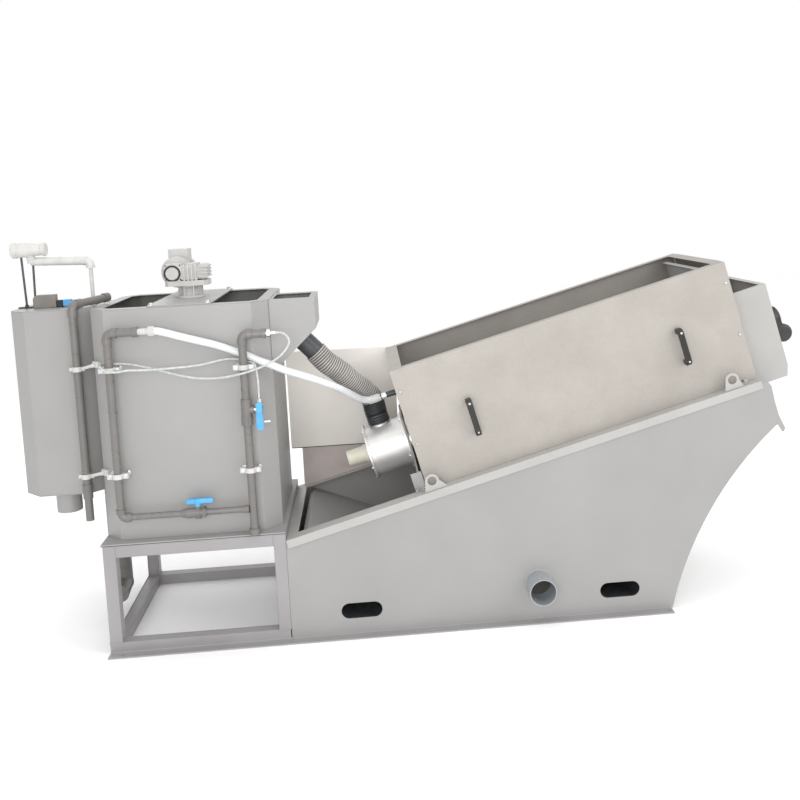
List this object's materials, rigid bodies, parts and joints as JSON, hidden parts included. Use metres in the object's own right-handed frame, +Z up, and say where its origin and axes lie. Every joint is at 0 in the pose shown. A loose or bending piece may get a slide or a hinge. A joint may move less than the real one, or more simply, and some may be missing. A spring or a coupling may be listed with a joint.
{
  "type": "sludge dewatering screw press",
  "caption": "Sludge dewatering press: a stirred tank on a stand feeds a sloping ring drum with a screw, under an open steel cover on a filtrate tank with a cake chute at its high end.",
  "frame": {"origin": "middle of the base frame on its underside", "axes": "+X along the machine towards the discharge end, +Y away from the service side, +Z up"},
  "size_m": [3.3632, 0.968, 1.651],
  "materials": {
    "body_paint": "satin light grey powder coat",
    "cabinet_paint": "pebble grey powder coat",
    "cap_cream": "cream polypropylene",
    "casting_grey": "dark grey painted casting",
    "handle_black": "black nylon",
    "hose_clear": "milky braided hose",
    "hose_dark": "dark grey flexible PVC",
    "hose_white": "white hose",
    "lever_blue": "blue nylon",
    "mixer_alloy": "white painted aluminium",
    "pvc_drain": "light grey PVC pipe",
    "pvc_grey": "grey PVC pipe",
    "rim_paint": "satin pale grey powder coat",
    "stainless_cover": "matte stainless sheet",
    "stainless_satin": "satin stainless",
    "stand_paint": "satin light grey powder coat",
    "switch_box": "grey brown plastic"
  },
  "bodies": {
    "machine": {"base_rail_front": "stand_paint", "base_rail_rear": "stand_paint", "tank_stand": "stand_paint", "front_plate": "body_paint", "rear_plate": "body_paint", "body_left_wall": "body_paint", "body_floor": "body_paint", "body_end_wall": "body_paint", "spout_wall": "body_paint", "cake_chute": "body_paint", "hopper_floor": "body_paint", "fork_pocket_left": "body_paint", "fork_pocket_right": "body_paint", "rim_front": "rim_paint", "rim_rear": "rim_paint", "rim_left": "rim_paint", "drain_pipe": "pvc_drain", "floc_tank_floor": "body_paint", "floc_tank_shell": "body_paint", "floc_tank_top": "body_paint", "mixer_bridge": "body_paint", "mixer_gearbox": "mixer_alloy", "mixer_motor": "mixer_alloy", "mixer_shaft": "stainless_satin", "outlet_box": "body_paint", "inlet_hose": "hose_dark", "inlet_casing": "stainless_satin", "drain_cap": "cap_cream", "drum_rings": "stainless_satin", "screw_shaft": "stainless_satin", "tie_rods": "stainless_satin", "drum_support_left": "body_paint", "drum_support_right": "body_paint", "cover_front": "stainless_cover", "cover_rear": "stainless_cover", "cover_left_end": "stainless_cover", "cover_right_end": "stainless_cover", "cover_handles": "handle_black", "lugs_front": "rim_paint", "lugs_rear": "rim_paint", "discharge_box": "body_paint", "drive_gearbox": "casting_grey", "gear_motor": "casting_grey", "spray_pipe": "stainless_satin", "left_riser": "pvc_grey", "right_riser": "pvc_grey", "cross_pipe": "pvc_grey", "overflow_pipe": "pvc_grey", "metering_tank": "body_paint", "metering_rim": "body_paint", "metering_floor": "body_paint", "metering_pipe": "hose_white", "level_switch": "switch_box", "control_cabinet": "cabinet_paint", "return_pipe": "pvc_drain", "spray_hose": "hose_white", "sample_hose": "hose_clear"},
    "low_lever": {"valve_lever_low": "lever_blue"},
    "high_lever": {"valve_lever_high": "lever_blue"}
  },
  "joints": [
    {"name": "low_lever_turn", "type": "hinge", "parent": "machine", "child": "low_lever", "pos_m": [-0.761, -0.368, 0.5823], "axis": [0, 0, -1], "range_deg": [0, 90]},
    {"name": "high_lever_turn", "type": "hinge", "parent": "machine", "child": "high_lever", "pos_m": [-0.493, -0.3843, 0.957], "axis": [0, -1, 0], "range_deg": [0, 90]}
  ]
}
